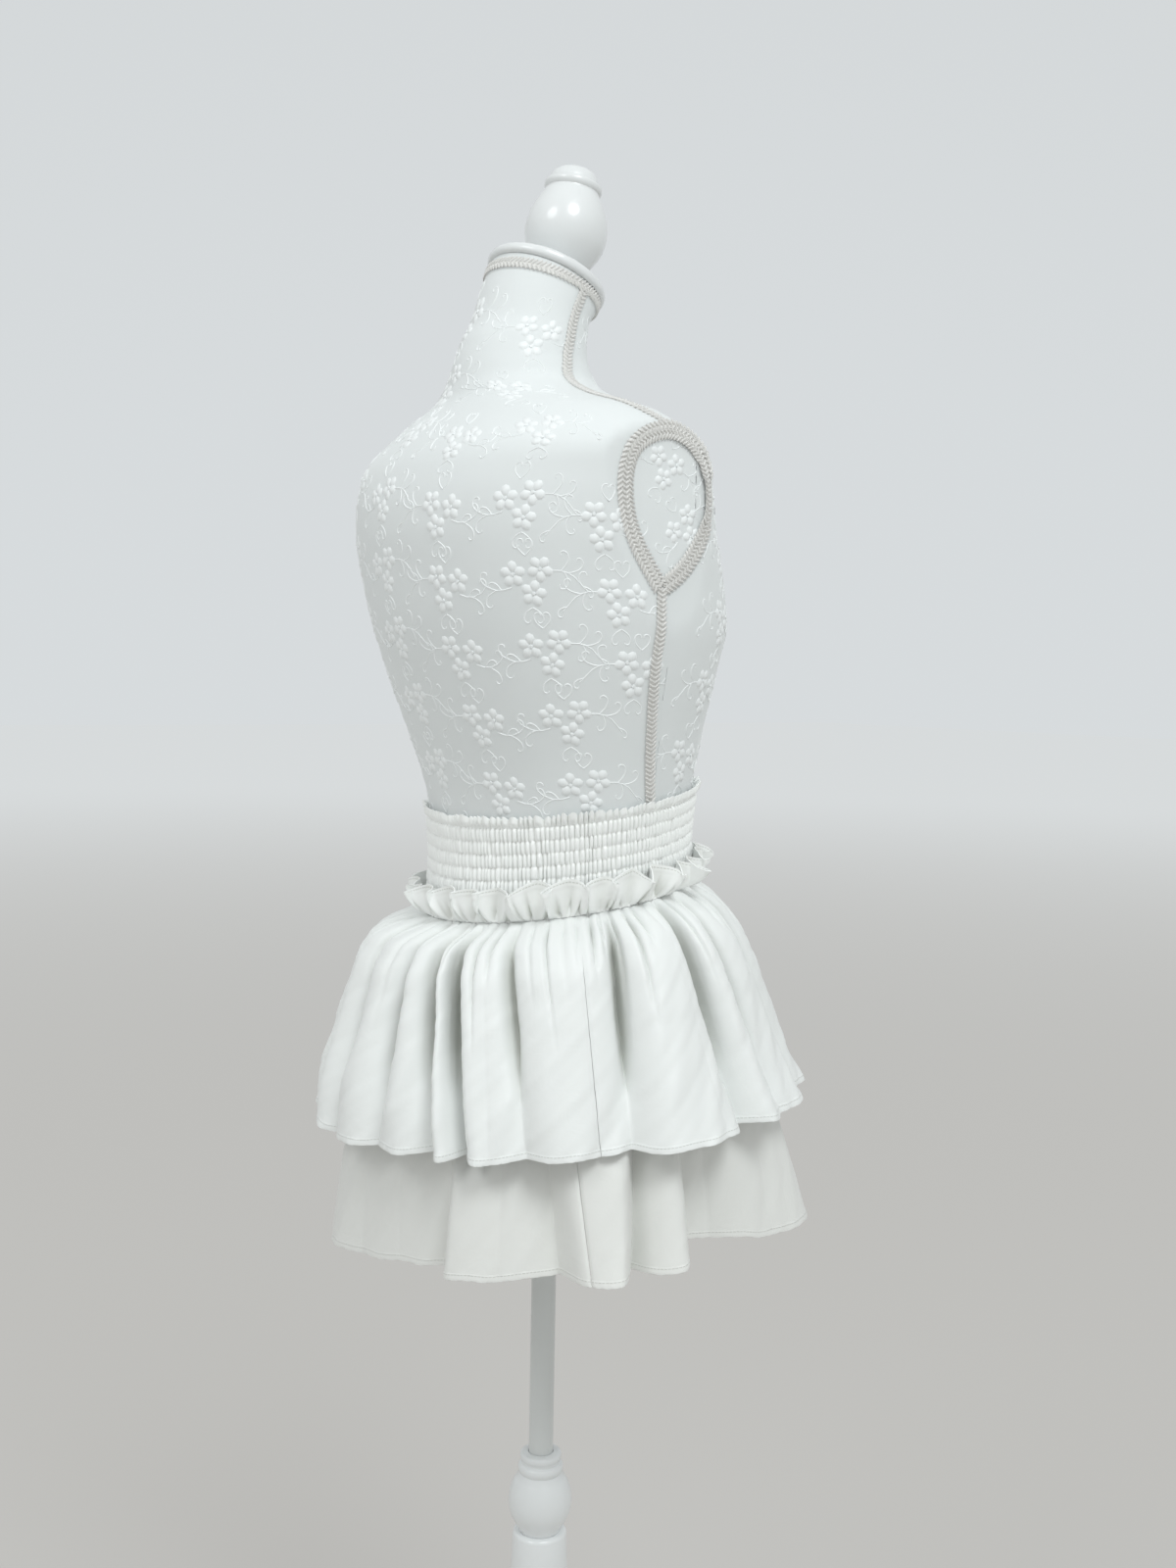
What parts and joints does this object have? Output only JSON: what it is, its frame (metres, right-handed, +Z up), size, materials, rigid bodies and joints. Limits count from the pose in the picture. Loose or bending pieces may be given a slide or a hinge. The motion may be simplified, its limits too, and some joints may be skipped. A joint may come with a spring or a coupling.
{
  "type": "tiered skort on a dress form",
  "caption": "White mini skort with a shirred waistband, a ruffled header and two gathered tiers over shorts, worn on a limbless dress form with a turned stand.",
  "frame": {"origin": "on the floor at the middle of the stand's round base, below the pole", "axes": "+Z up along the pole, -Y towards the front of the garment, +X towards the wearer's left"},
  "size_m": [0.4337, 0.3761, 1.5486],
  "materials": {
    "satin": "ivory white woven cloth with a soft satin sheen",
    "form_cover": "pale grey-white cloth embroidered with raised white flowers",
    "turned_wood": "turned wood in white gloss paint",
    "white_steel": "white painted steel tube"
  },
  "bodies": {
    "root": {"waistband": "satin", "header_frill": "satin", "upper_tier_back": "satin", "upper_tier_front": "satin", "lower_tier_back": "satin", "lower_tier_front": "satin", "shorts_front_left": "satin", "shorts_front_right": "satin", "shorts_back_left": "satin", "shorts_back_right": "satin", "form_torso": "form_cover", "neck_cap": "turned_wood", "finial": "turned_wood", "stand_ball": "turned_wood", "stand_column": "turned_wood", "stand_base": "turned_wood", "pole": "white_steel"}
  },
  "joints": []
}
